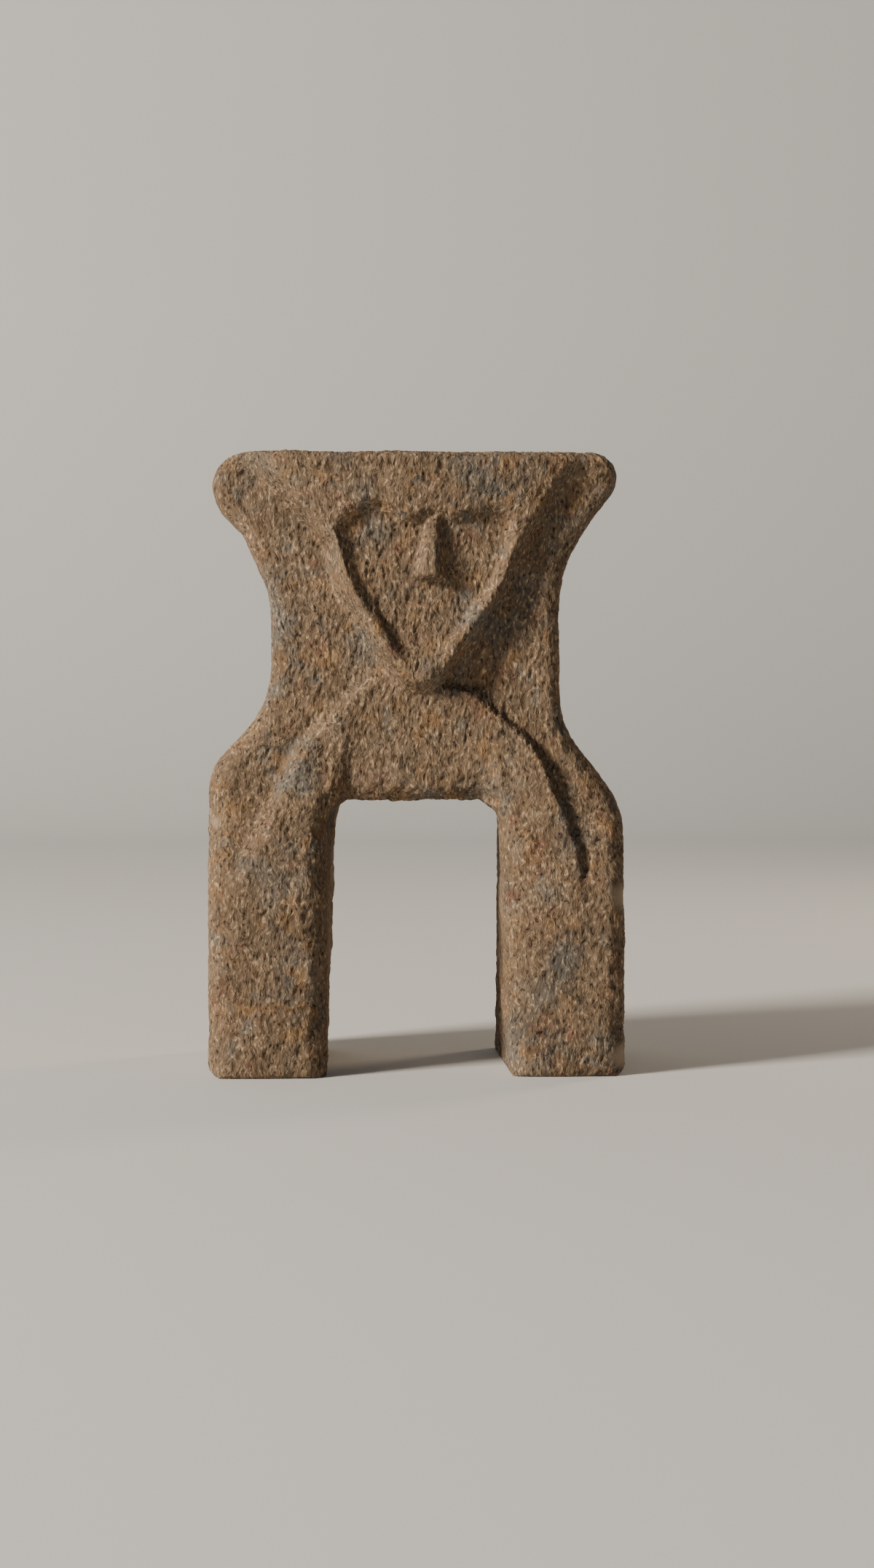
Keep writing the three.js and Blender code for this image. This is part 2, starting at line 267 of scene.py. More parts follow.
@dataclass(frozen=True)
class Relief:
    """How far each carved level stands out, front and back, over the silhouette."""

    shape: Silhouette
    front_of_legs: float
    back_at_feet: float
    back_at_top: float = 50.0
    wing_level: float = 38.0
    face_level: float = 54.0
    face_turn: float = 4.0
    face_crown: float = 2.5
    shoulder_level: float = 45.0
    chest_level: float = 42.5
    leg_crown: float = 2.0
    hip_band: tuple[float, float] = (80.0, 170.0)
    arm_band: tuple[float, float] = (90.0, 190.0)
    chin: float = 203.0
    chin_fade: float = 26.0
    head_half: float = 60.0
    lips: tuple[float, float] = (1.0, 7.0)
    lip_height: float = 20.0
    cheek_walls: tuple[float, float] = (9.5, 7.0)
    temple_walls: tuple[float, float] = (20.0, 9.0)
    temple_from: float = 272.0
    arm_walls: tuple[float, float] = (9.0, 5.0)
    chest_wall: float = 12.0
    face_wall: float = 7.0
    face_recess: float = 5.5
    nose_top: float = 290.0
    nose_base: float = 257.5
    nose_under: float = 4.0
    nose_middle: tuple[float, float] = (8.5, 6.0)
    nose_half: tuple[float, float] = (5.0, 10.0)
    nose_out: tuple[float, float] = (3.5, 10.0)
    nose_rise: float = 6.0
    nose_flank: float = 1.25
    edge_top: float = 5.0
    edge_wing: float = 7.0
    edge_leg: float = 11.0
    edge_foot: float = 3.5
    edge_back: float = 9.0
    edge_wing_from: float = 216.0
    edge_top_under: float = 14.0
    head: Outline = Outline((
        (-83, 332, 0), (-40.5, 276, 10), (-34.5, 252, 30), (-8.5, 209.5, 12), (4, 203, 5),
        (11.5, 208, 8), (42, 252, 30), (51, 275, 20), (85, 332, 0),
    ))
    arms_and_legs: Outline = Outline((
        (-125, -30, 0), (-125, 20, 0), (-92, 96, 60), (-56, 168, 60), (-20, 203, 10),
        (26, 197, 10), (61, 168, 50), (80, 118, 60), (86, 60, 40), (125, -10, 0), (125, -30, 0),
    ))
    chest: Outline = Outline((
        (-39, 110, 0), (-38, 165, 20), (-27, 192, 8), (29, 190, 8), (38, 165, 20), (40, 110, 0),
    ))
    face: Outline = Outline((
        (-40, 284, 5), (-24, 297, 12), (-3, 284, 8), (8, 290, 4), (18, 286, 5), (34, 290, 20),
        (49, 287, 6), (46, 272, 10), (39, 253, 20), (9, 213, 7), (-6, 215, 7), (-31, 252, 20),
        (-37, 270, 10),
    ))

    def of_side(self, x: np.ndarray, pair: tuple[float, float]) -> np.ndarray:
        """The left or the right one of a pair of sizes, by the side that a place is on."""
        return np.where(x < 0.0, *pair)

    def ground_level(self, x: np.ndarray, z: np.ndarray) -> np.ndarray:
        """Level of the hips, of the wings beside the head and of the lip over them.

        Args:
            x: Places' x.
            z: Places' z.

        Returns:
            front_of_legs eased back to wing_level over the hips, plus a lip eased in under the top.
        """
        low, high = self.hip_band
        hips = mix(self.front_of_legs, self.wing_level, smooth((z - low) / (high - low)))
        under_top = (z - self.shape.height + self.lip_height) / self.lip_height
        return hips + self.of_side(x, self.lips) * smooth(under_top)

    def limb_level(self, x: np.ndarray, z: np.ndarray) -> np.ndarray:
        """Level of the arms and legs, crowned over each leg, and of the chest sunk between them.

        Args:
            x: Places' x.
            z: Places' z.

        Returns:
            The arms' level less crown times the square of the way off the leg's middle, blended to
            the chest's level across the chest's edge.
        """
        low, high = self.arm_band
        arms = mix(self.front_of_legs, self.shoulder_level, smooth((z - low) / (high - low)))
        leg_middle = (self.shape.leg_outer + self.shape.arch_front.foot_right) / 2
        off_middle = (np.abs(x) - leg_middle) / (self.shape.leg_outer - leg_middle)
        crowned = arms - self.leg_crown * np.minimum(1.0, off_middle**2)
        return mix(crowned, self.chest_level, smooth(self.chest.depth(x, z) / self.chest_wall + 0.5))

    def nose_height(self, x: np.ndarray, z: np.ndarray) -> np.ndarray:
        """Height of the nose over the face, a wedge that widens and rises towards its base.

        Args:
            x: Places' x.
            z: Places' z.

        Returns:
            Height grown along the nose, times the ease under its base and the ease of its flanks.
        """
        down = (self.nose_top - z) / (self.nose_top - self.nose_base)
        held = np.clip(down, 0.0, 1.0)
        out = mix(*self.nose_out, held) * smooth(down * self.nose_rise)
        under = smooth((z - self.nose_base + self.nose_under) / self.nose_under)
        off = np.abs(x - mix(*self.nose_middle, held)) / mix(*self.nose_half, held)
        return out * under * smooth(self.nose_flank * (1.0 - off))

    def mask_level(self, x: np.ndarray, z: np.ndarray) -> np.ndarray:
        """Level of the mask: crowned, turned a little to the right, a dish inside its rim, the nose.

        Args:
            x: Places' x.
            z: Places' z.

        Returns:
            face_level - turn u / 2 - crown u^2 - dish + nose, with u = x / head_half.
        """
        chinward = smooth((z - self.chin) / self.chin_fade)
        dish = self.face_recess * chinward * smooth(self.face.depth(x, z) / self.face_wall + 0.5)
        across = x / self.head_half
        plane = self.face_level - self.face_turn * across / 2 - self.face_crown * across**2
        return plane - dish + self.nose_height(x, z)

    def front_level(self, x: np.ndarray, z: np.ndarray) -> np.ndarray:
        """How far the carved front stands out, before its edges are rounded.

        Args:
            x: Places' x.
            z: Places' z.

        Returns:
            The hips and wings, the limbs over them and the head over both, each blended in across
            the width of its own sloping wall.
        """
        arm_wall = self.of_side(x, self.arm_walls)
        limbs = smooth(self.arms_and_legs.depth(x, z) / arm_wall + 1.0)
        body = mix(self.ground_level(x, z), self.limb_level(x, z), limbs)
        upward = smooth((z - self.temple_from) / (self.shape.height - self.temple_from))
        head_wall = mix(self.of_side(x, self.cheek_walls), self.of_side(x, self.temple_walls), upward)
        return mix(body, self.mask_level(x, z), smooth(self.head.depth(x, z) / head_wall + 1.0))

    def edge_radius(self, z: np.ndarray) -> np.ndarray:
        """Radius of the front edges: full on the legs, finer on the wings and along the top.

        Args:
            z: Heights.

        Returns:
            The radius at each height.
        """
        arch_top = self.shape.arch_top
        risen = smooth((z - arch_top) / (self.edge_wing_from - arch_top))
        near_top = smooth((z - self.shape.height + self.edge_top_under) / self.edge_wing)
        return mix(mix(self.edge_leg, self.edge_wing, risen), self.edge_top, near_top)

    def front_y(self, x: np.ndarray, z: np.ndarray) -> np.ndarray:
        """Depth of the carved front: less its level, plus the larger fall of its rounded edges.

        Args:
            x: Places' x.
            z: Places' z.

        Returns:
            The y of the front at each place.
        """
        edges = self.shape.outline(self.shape.arch_front, -self.shape.below_ground)
        fall = quarter_round(edges.depth(x, z), self.edge_radius(z))
        return np.maximum(fall, quarter_round(z, self.edge_foot)) - self.front_level(x, z)

    def back_y(self, x: np.ndarray, z: np.ndarray) -> np.ndarray:
        """Depth of the plain back, which leans a little forward.

        Args:
            x: Places' x.
            z: Places' z.

        Returns:
            The y of the back at each place.
        """
        edges = self.shape.outline(self.shape.arch_back, -self.shape.below_ground)
        fall = quarter_round(edges.depth(x, z), self.edge_back)
        back = mix(self.back_at_feet, self.back_at_top, smooth(z / self.shape.height))
        return back - np.maximum(fall, quarter_round(z, self.edge_foot))


class RandomField:
    """Gradient noise in space: each cell corner has a random slope, blended by 6t^5 - 15t^4 + 10t^3."""

    PERIOD = 64

    def __init__(self, seed: int) -> None:
        """Draw the slopes of one repeating block of cells.

        Args:
            seed: Seed of the random draw.
        """
        drawn = np.random.default_rng(seed).normal(size=(self.PERIOD**3, 3))
        self.slopes = drawn / np.linalg.norm(drawn, axis=1, keepdims=True)

    def at(self, places: np.ndarray) -> np.ndarray:
        """Read the noise, which changes sign about once in each unit of distance.

        Args:
            places: Places in cells, one row each.

        Returns:
            Values of about -0.8 to 0.8.
        """
        cell = np.floor(places).astype(int)
        within = places - cell
        ease = within**3 * (within * (within * 6.0 - 15.0) + 10.0)
        total = np.zeros(len(places))
        for corner in np.ndindex(2, 2, 2):
            i, j, k = ((cell + corner) % self.PERIOD).T
            slope = self.slopes[(i * self.PERIOD + j) * self.PERIOD + k]
            share = np.prod(np.where(np.array(corner) == 1, ease, 1.0 - ease), axis=1)
            total += share * np.einsum("ij,ij->i", slope, within - corner)
        return total * 1.5


@dataclass(frozen=True)
class Blemish:
    """A local mark on a front edge: where it is, how far it reaches and how deep it goes."""

    x: float
    z: float
    reach_x: float
    reach_z: float
    depth: float
    y: float = -50.0
    reach_y: float = 14.0

    def share(self, places: np.ndarray) -> np.ndarray:
        """How much of the mark each place takes: a bell 1 - d^2, eased, of the distance d in reaches.

        Args:
            places: Places (x, y, z), one row each.

        Returns:
            0 outside the mark to 1 in its middle.
        """
        across = (places[:, 0] - self.x) / self.reach_x
        along = (places[:, 2] - self.z) / self.reach_z
        inward = (places[:, 1] - self.y) / self.reach_y
        return smooth(1.0 - across**2 - along**2 - inward**2)


@dataclass(frozen=True)
class Weathering:
    """The skin that years in the open gave the stone: lumps, knobs, an upright grain and marks."""

    seed: int = 41
    lump_size: float = 24.0
    lump_height: float = 0.75
    knob_size: tuple[float, float, float] = (5.0, 5.0, 7.5)
    knob_height: float = 0.55
    grain_size: tuple[float, float, float] = (2.3, 2.3, 5.2)
    grain_height: float = 0.62
    sway_size: float = 16.0
    sway: float = 3.2
    edge_lump_size: float = 9.0
    edge_lump: float = 1.3
    edge_reach: float = 9.0
    foot_still: float = 3.0
    bare: tuple[Blemish, ...] = (
        Blemish(103.0, 92.0, 9.0, 9.0, 0.4), Blemish(103.0, 10.0, 7.0, 8.0, 0.4),
        Blemish(-104.0, 131.0, 4.0, 5.0, 0.3),
    )
    chips: tuple[Blemish, ...] = (Blemish(104.0, 22.0, 5.0, 6.0, 1.2),)

    def swayed(self, places: np.ndarray) -> np.ndarray:
        """Places moved about by slow noise, so that the grain drawn on them flows and curls.

        Args:
            places: Places, one row each.

        Returns:
            The moved places.
        """
        moves = [RandomField(self.seed + n).at(places / self.sway_size) for n in (1, 2, 3)]
        return places + self.sway * np.stack(moves, axis=1)

    def grain(self, places: np.ndarray) -> np.ndarray:
        """Upright ridges with pits between them: ridge tops 1 - 2|n| of noise n drawn out upwards.

        Args:
            places: Places, one row each.

        Returns:
            About -0.6 in the pits to 1 on the crests.
        """
        noise = RandomField(self.seed + 4).at(self.swayed(places) / np.array(self.grain_size))
        return 1.0 - 2.6 * np.abs(noise) - 0.35

    def bareness(self, places: np.ndarray) -> np.ndarray:
        """Where the skin has come off and the stone is smooth, 0 to 1."""
        return np.max([mark.share(places) for mark in self.bare], axis=0)

    def height(self, places: np.ndarray, to_edge: np.ndarray) -> np.ndarray:
        """Relief along the normal: lumps + knobs + grain + lumpy edges - chips.

        Args:
            places: Places on the smooth surface, one row each.
            to_edge: Each place's distance to the sharp edge of the opening.

        Returns:
            Height over the smooth surface.
        """
        lumps = self.lump_height * RandomField(self.seed).at(places / self.lump_size)
        knobs = self.knob_height * RandomField(self.seed + 5).at(places / np.array(self.knob_size))
        worn = smooth(1.0 - to_edge / self.edge_reach)
        edge = self.edge_lump * worn * RandomField(self.seed + 6).at(places / self.edge_lump_size)
        rough = knobs + self.grain_height * self.grain(places)
        chipped = sum(mark.depth * mark.share(places) for mark in self.chips)
        smooth_share = self.bareness(places)
        flaked = sum(mark.depth * mark.share(places) for mark in self.bare)
        return lumps + edge + rough * (1.0 - 0.85 * smooth_share) - chipped - flaked


@dataclass(frozen=True)
class Mesh:
    """A surface as numpy arrays: places in rows and faces as rows of four or three place numbers."""

    places: np.ndarray
    quads: np.ndarray
    triangles: np.ndarray

    def normals(self) -> np.ndarray:
        """Normals at the places: the area-weighted sum of the normals of the faces round each one.

        Returns:
            Unit normals, one row each.
        """
        halves = [self.quads[:, [0, 1, 2]], self.quads[:, [0, 2, 3]], self.triangles]
        corners = np.concatenate(halves)
        a, b, c = (self.places[corners[:, n]] for n in range(3))
        of_face = np.cross(b - a, c - a)
        total = np.zeros_like(self.places)
        for n in range(3):
            np.add.at(total, corners[:, n], of_face)
        return total / np.maximum(np.linalg.norm(total, axis=1, keepdims=True), TINY)

    def to_object(self, name: str, marks: dict[str, np.ndarray]) -> bpy.types.Object:
        """Put the surface into a Blender mesh, smooth shaded, with its attributes.

        Args:
            name: Name of the object and its mesh.
            marks: Attributes with one value for each place.

        Returns:
            The new object, at the origin.
        """
        mesh = bpy.data.meshes.new(name)
        mesh.vertices.add(len(self.places))
        mesh.vertices.foreach_set("co", (self.places * MM).ravel())
        around = np.concatenate([self.quads.ravel(), self.triangles.ravel()])
        sizes = np.concatenate([np.full(len(self.quads), 4), np.full(len(self.triangles), 3)])
        mesh.loops.add(len(around))
        mesh.loops.foreach_set("vertex_index", around)
        mesh.polygons.add(len(sizes))
        mesh.polygons.foreach_set("loop_start", np.cumsum(sizes) - sizes)
        mesh.polygons.foreach_set("use_smooth", np.ones(len(sizes), bool))
        mesh.update(calc_edges=True)
        for mark, values in marks.items():
            mesh.attributes.new(mark, "FLOAT", "POINT").data.foreach_set("value", values)
        made = bpy.data.objects.new(name, mesh)
        bpy.context.scene.collection.objects.link(made)
        return made


@dataclass(frozen=True)
class Lattice:
    """Numbers of cells of the front: across each band, and up each band of heights.

    The columns run in bands from the left side over the opening to the right side. All numbers are
    even, because the back takes every other row and column.
    """

    edge: int = 14
    leg: int = 36
    middle: int = 80
    foot_rows: int = 4
    leg_rows: int = 122
    arch_rows: int = 14
    body_rows: int = 150
    top_rows: int = 6
    fine_layers: int = 10
    coarse_layers: int = 32
    fine_depth: float = 0.14
    arch_fade: float = 30.0
    just_inside: float = 0.01

    @property
    def arch_row(self) -> int:
        """The row level with the middles of the opening's rounded corners."""
        return self.foot_rows + self.leg_rows

    @property
    def arch_columns(self) -> tuple[int, int]:
        """The first and the last column over the opening."""
        first = 2 * self.edge + self.leg
        return first, first + self.middle

    @property
    def size(self) -> tuple[int, int]:
        """The last row and the last column."""
        rows = self.arch_row + self.arch_rows + self.body_rows + self.top_rows
        return rows, 2 * (2 * self.edge + self.leg) + self.middle

    def arc(self, steps: int) -> np.ndarray:
        """Steps 1 - cos a over a quarter turn, which cut a quarter round into equal lengths."""
        return 1.0 - np.cos(np.linspace(0.0, math.pi / 2, steps + 1))

    def heights(self, relief: Relief) -> np.ndarray:
        """Height of each row, close together where the edges of the feet, opening and top turn.

        Args:
            relief: The carved levels.

        Returns:
            Heights from the ground to the top.
        """
        shape = relief.shape
        arch = shape.arch_top - shape.corner_inset
        over_arch = arch + relief.edge_leg
        under_top = shape.height - relief.edge_top
        return np.concatenate([
            relief.edge_foot * self.arc(self.foot_rows)[:-1],
            np.linspace(relief.edge_foot, arch, self.leg_rows + 1)[:-1],
            arch + relief.edge_leg * self.arc(self.arch_rows)[:-1],
            np.linspace(over_arch, under_top, self.body_rows + 1)[:-1],
            shape.height - relief.edge_top * self.arc(self.top_rows)[::-1],
        ])

    def places(self, relief: Relief, arch: Arch) -> tuple[np.ndarray, np.ndarray]:
        """x and z of the lattice on one face, its columns following the sides and the opening.

        Above the opening the columns spread evenly, eased in over arch_fade.

        Args:
            relief: The carved levels.
            arch: The opening's end on that face.

        Returns:
            x and z, each in rows and columns.
        """
        outline = relief.shape.outline(arch)
        rows = self.heights(relief)
        top = relief.shape.height - self.just_inside
        left, right = outline.sides(np.clip(rows, self.just_inside, top))
        arch_height = rows[self.arch_row]
        opening = outline.crossings(np.clip(rows, self.just_inside, arch_height - self.just_inside))
        spread = smooth((rows - arch_height) / self.arch_fade)
        share = self.arch_columns[0] / self.size[1]
        near = mix(opening[:, 1], mix(left, right, share), spread)
        far = mix(opening[:, 2], mix(right, left, share), spread)
        radius = relief.edge_radius(rows)
        even = np.linspace(0.0, 1.0, self.edge + 1)
        outer = self.arc(self.edge)
        inner = mix(1.0 - outer[::-1], even, spread[:, None])

        def band(start: np.ndarray, end: np.ndarray, steps: np.ndarray) -> np.ndarray:
            """Columns from start up to, but not with, end."""
            return mix(start[:, None], end[:, None], steps)[:, :-1]

        cell = (near - left - radius) / (self.leg + self.edge)
        turn_left = mix(near - relief.edge_leg, near - self.edge * cell, spread)
        turn_right = mix(far + relief.edge_leg, far + self.edge * cell, spread)
        leg = np.linspace(0.0, 1.0, self.leg + 1)
        x = np.concatenate([
            band(left, left + radius, outer),
            band(left + radius, turn_left, leg),
            band(turn_left, near, inner),
            band(near, far, np.linspace(0.0, 1.0, self.middle + 1)),
            band(far, turn_right, 1.0 - inner[:, ::-1]),
            band(turn_right, right - radius, leg),
            band(right - radius, right, 1.0 - outer[::-1]),
            right[:, None],
        ], axis=1)
        z = np.repeat(rows[:, None], x.shape[1], axis=1)
        first, last = self.arch_columns
        over = slice(self.arch_row, None), slice(first, last + 1)
        rise = relief.shape.soffit(x[over], arch) - arch_height
        z[over] += rise * (1.0 - spread[self.arch_row:, None])
        return x, z

    def rim(self) -> np.ndarray:
        """Rows and columns of the lattice's edge, counter-clockwise as seen from the front.

        Returns:
            One (row, column) for each place, round both feet, the opening, the sides and the top.
        """
        top, right = self.size
        first, last = self.arch_columns
        turns = [
            (0, 0), (0, first), (self.arch_row, first), (self.arch_row, last), (0, last),
            (0, right), (top, right), (top, 0), (0, 0),
        ]
        runs = []
        for (row, column), (next_row, next_column) in zip(turns, turns[1:]):
            steps = max(abs(next_row - row), abs(next_column - column))
            runs.append(np.linspace((row, column), (next_row, next_column), steps + 1)[:-1])
        return np.rint(np.concatenate(runs)).astype(int)

    def cells(self, step: int) -> np.ndarray:
        """Faces of the lattice, all cells but those of the opening.

        Args:
            step: 1 for every cell, 2 for cells of two rows and two columns.

        Returns:
            Rows and columns of each cell's four corners, counter-clockwise from the front.
        """
        top, right = self.size
        first, last = self.arch_columns
        row, column = np.meshgrid(np.arange(0, top, step), np.arange(0, right, step), indexing="ij")
        solid = (row >= self.arch_row) | (column < first) | (column >= last)
        row, column = row[solid], column[solid]
        corners = [(row, column), (row, column + step), (row + step, column + step), (row + step, column)]
        return np.stack([np.stack(corner, axis=1) for corner in corners], axis=1)


@dataclass(frozen=True)
class CoarseStone:
    """Coarse brown stone, carved with a point chisel and long weathered out of doors.

    Grains stand proud in short upright ridges and the softer stone between them is worn into pits,
    so it is wholly matt, brown with ochre and grey patches. Its ridges' tops carry a painted highlight
    and its pits painted shade.
    """

    body: str = "#776450"
    # painted highlight: the lit colour laid on the ridges' tops
    crest_highlight: str = "#C2A988"
    # painted shade: the dark colour laid in the pits between the ridges
    pit_shade: str = "#2E2722"
    ochre: str = "#86694A"
    rust: str = "#745644"
    grey: str = "#6A645C"
    bare: str = "#9A8772"
    ridge_width: float = 0.8
    ridge_length: float = 1.9
    patch_size: float = 13.0
    cloud_size: float = 42.0
    sway_size: float = 9.0
    sway: float = 2.4
    ridge_depth: float = 0.9
    roughness: float = 0.95
    ior: float = 1.5
    specular: float = 0.25


def linear(colour: str) -> tuple[float, float, float, float]:
    """Turn an sRGB hex colour into linear red, green and blue.

    Args:
        colour: The colour as "#RRGGBB".

    Returns:
        Linear values and an alpha of 1.
    """
    parts = [int(colour[n:n + 2], 16) / 255 for n in (1, 3, 5)]
    return (*(p / 12.92 if p <= 0.04045 else ((p + 0.055) / 1.055) ** 2.4 for p in parts), 1.0)


def add_node(
    tree: bpy.types.NodeTree, kind: str, inputs: dict[str | int, object] | None = None, **settings: object
) -> bpy.types.Node:
    """Add a node with its settings, and its inputs as values or as links from other nodes' outputs.

    Args:
        tree: The material's or the world's tree.
        kind: The node's type.
        inputs: Socket names or numbers, each with a value or an output socket.
        settings: The node's own settings.

    Returns:
        The new node.
    """
    node = tree.nodes.new(kind)
    for name, value in settings.items():
        setattr(node, name, value)
    for socket, value in (inputs or {}).items():
        if isinstance(value, bpy.types.NodeSocket):
            tree.links.new(value, node.inputs[socket])
        else:
            node.inputs[socket].default_value = value
    return node


@dataclass(frozen=True)
class StoneDresser:
    """Builds the stone's procedural material from its finish."""

    finish: CoarseStone

    def blend(
        self, tree: bpy.types.NodeTree, a: object, b: object, share: bpy.types.NodeSocket, kind: str = "MIX"
    ) -> bpy.types.NodeSocket:
        """Mix two colours by a share that a pattern gives.

        Args:
            tree: The material's tree.
            a: Colour or socket where the share is 0.
            b: Colour or socket where the share is 1.
            share: The pattern.
            kind: How b goes over a.

        Returns:
            The mixed colour.
        """
        node = add_node(tree, "ShaderNodeMix", {0: share, 6: a, 7: b}, data_type="RGBA", blend_type=kind)
        return node.outputs[2]

    def step(
        self, tree: bpy.types.NodeTree, value: bpy.types.NodeSocket, low: float, high: float
    ) -> bpy.types.NodeSocket:
        """Ease a pattern's values from 0 at low to 1 at high.

        Args:
            tree: The material's tree.
            value: The pattern.
            low: Value that becomes 0.
            high: Value that becomes 1.

        Returns:
            The eased pattern.
        """
        settings = {"Value": value, "From Min": low, "From Max": high}
        return add_node(tree, "ShaderNodeMapRange", settings, interpolation_type="SMOOTHSTEP").outputs[0]

    def noise(
        self, tree: bpy.types.NodeTree, vector: bpy.types.NodeSocket, size: float, detail: float = 2.0
    ) -> bpy.types.Node:
        """Cloudy noise whose blotches measure about size millimetres.

        Args:
            tree: The material's tree.
            vector: Coordinates in millimetres.
            size: The blotches' size.
            detail: Octaves of finer noise in it.

        Returns:
            The noise node.
        """
        return add_node(tree, "ShaderNodeTexNoise", {"Vector": vector, "Scale": 1.0 / size, "Detail": detail})

    def flowing(self, tree: bpy.types.NodeTree) -> tuple[bpy.types.NodeSocket, bpy.types.NodeSocket]:
        """Object coordinates in millimetres, plain and swayed by slow noise so the grain curls.

        Args:
            tree: The material's tree.

        Returns:
            The plain and the swayed coordinates.
        """
        finish = self.finish
        place = add_node(tree, "ShaderNodeTexCoord").outputs["Object"]
        scale = (1.0 / MM,) * 3
        plain = add_node(tree, "ShaderNodeMapping", {"Vector": place, "Scale": scale}).outputs[0]
        moved = self.noise(tree, plain, finish.sway_size, 1.0).outputs["Color"]
        centred = add_node(tree, "ShaderNodeVectorMath", {0: moved, 1: (0.5, 0.5, 0.5)}, operation="SUBTRACT")
        sway = (2.0 * finish.sway,) * 3
        swayed = add_node(
            tree, "ShaderNodeVectorMath", {0: centred.outputs[0], 1: sway, 2: plain}, operation="MULTIPLY_ADD"
        )
        return plain, swayed.outputs[0]

    def ridges(self, tree: bpy.types.NodeTree, swayed: bpy.types.NodeSocket) -> bpy.types.NodeSocket:
        """Short upright ridges, 1 on their crests and 0 in the pits between them.

        Args:
            tree: The material's tree.
            swayed: Swayed coordinates in millimetres.

        Returns:
            The ridges' height.
        """
        finish = self.finish
        across, along = 1.0 / finish.ridge_width, 1.0 / finish.ridge_length
        drawn = add_node(tree, "ShaderNodeMapping", {"Vector": swayed, "Scale": (across, across, along)})
        settings = {"Vector": drawn.outputs[0], "Scale": 0.62, "Detail": 2.2, "Roughness": 0.55, "Distortion": 0.35}
        return add_node(tree, "ShaderNodeTexNoise", settings).outputs[0]

    def material(self) -> bpy.types.Material:
        """Build the material: patchy brown stone, painted highlight on ridges, painted shade in pits and low
        relief, all fully matt.

        Returns:
            The new material.
        """
        finish = self.finish
        made = bpy.data.materials.new(SLOT)
        made.use_nodes = True
        tree = made.node_tree
        tree.nodes.clear()
        plain, swayed = self.flowing(tree)
        ridges = self.ridges(tree, swayed)
        relief = add_node(tree, "ShaderNodeAttribute", attribute_name="relief").outputs["Fac"]
        bareness = add_node(tree, "ShaderNodeAttribute", attribute_name="bareness").outputs["Fac"]

        patches = self.noise(tree, plain, finish.patch_size, 3.0)
        clouds = self.noise(tree, plain, finish.cloud_size, 2.0)
        hue = add_node(tree, "ShaderNodeSeparateColor", {"Color": patches.outputs["Color"]})
        colour = self.blend(tree, linear(finish.body), linear(finish.grey), self.step(tree, clouds.outputs[0], 0.5, 0.72))
        colour = self.blend(tree, colour, linear(finish.ochre), self.step(tree, hue.outputs[0], 0.5, 0.75))
        colour = self.blend(tree, colour, linear(finish.rust), self.step(tree, hue.outputs[1], 0.56, 0.78))
        colour = self.blend(tree, colour, linear(finish.grey), self.step(tree, hue.outputs[2], 0.54, 0.76))
        # Painted highlight: the ridges' tops are lightened to the colour of lit ridges.
        colour = self.blend(tree, colour, linear(finish.crest_highlight), self.step(tree, ridges, 0.52, 0.78))
        # Painted shade: the pits between the ridges are darkened to the colour of shaded pits.
        pit_shade_share = self.step(tree, ridges, 0.47, 0.27)
        colour = self.blend(tree, colour, linear(finish.pit_shade), pit_shade_share)
        # Painted shade and painted light: the colour is darkened where the weathered relief is low and lightened
        # where it stands out.
        shade = add_node(tree, "ShaderNodeMapRange", {
            "Value": relief, "From Min": -0.9, "From Max": 0.7, "To Min": 0.62, "To Max": 1.12,
        })
        colour = self.blend(tree, colour, shade.outputs[0], 1.0, "MULTIPLY")
        colour = self.blend(tree, colour, linear(finish.bare), bareness)

        bump = add_node(
            tree, "ShaderNodeBump", {"Strength": 0.9, "Distance": finish.ridge_depth * MM, "Height": ridges}
        )
        shader = add_node(tree, "ShaderNodeBsdfPrincipled", {
            "Base Color": colour, "Roughness": finish.roughness, "IOR": finish.ior,
            "Specular IOR Level": finish.specular, "Normal": bump.outputs[0],
        })
        add_node(tree, "ShaderNodeOutputMaterial", {"Surface": shader.outputs[0]})
        return made


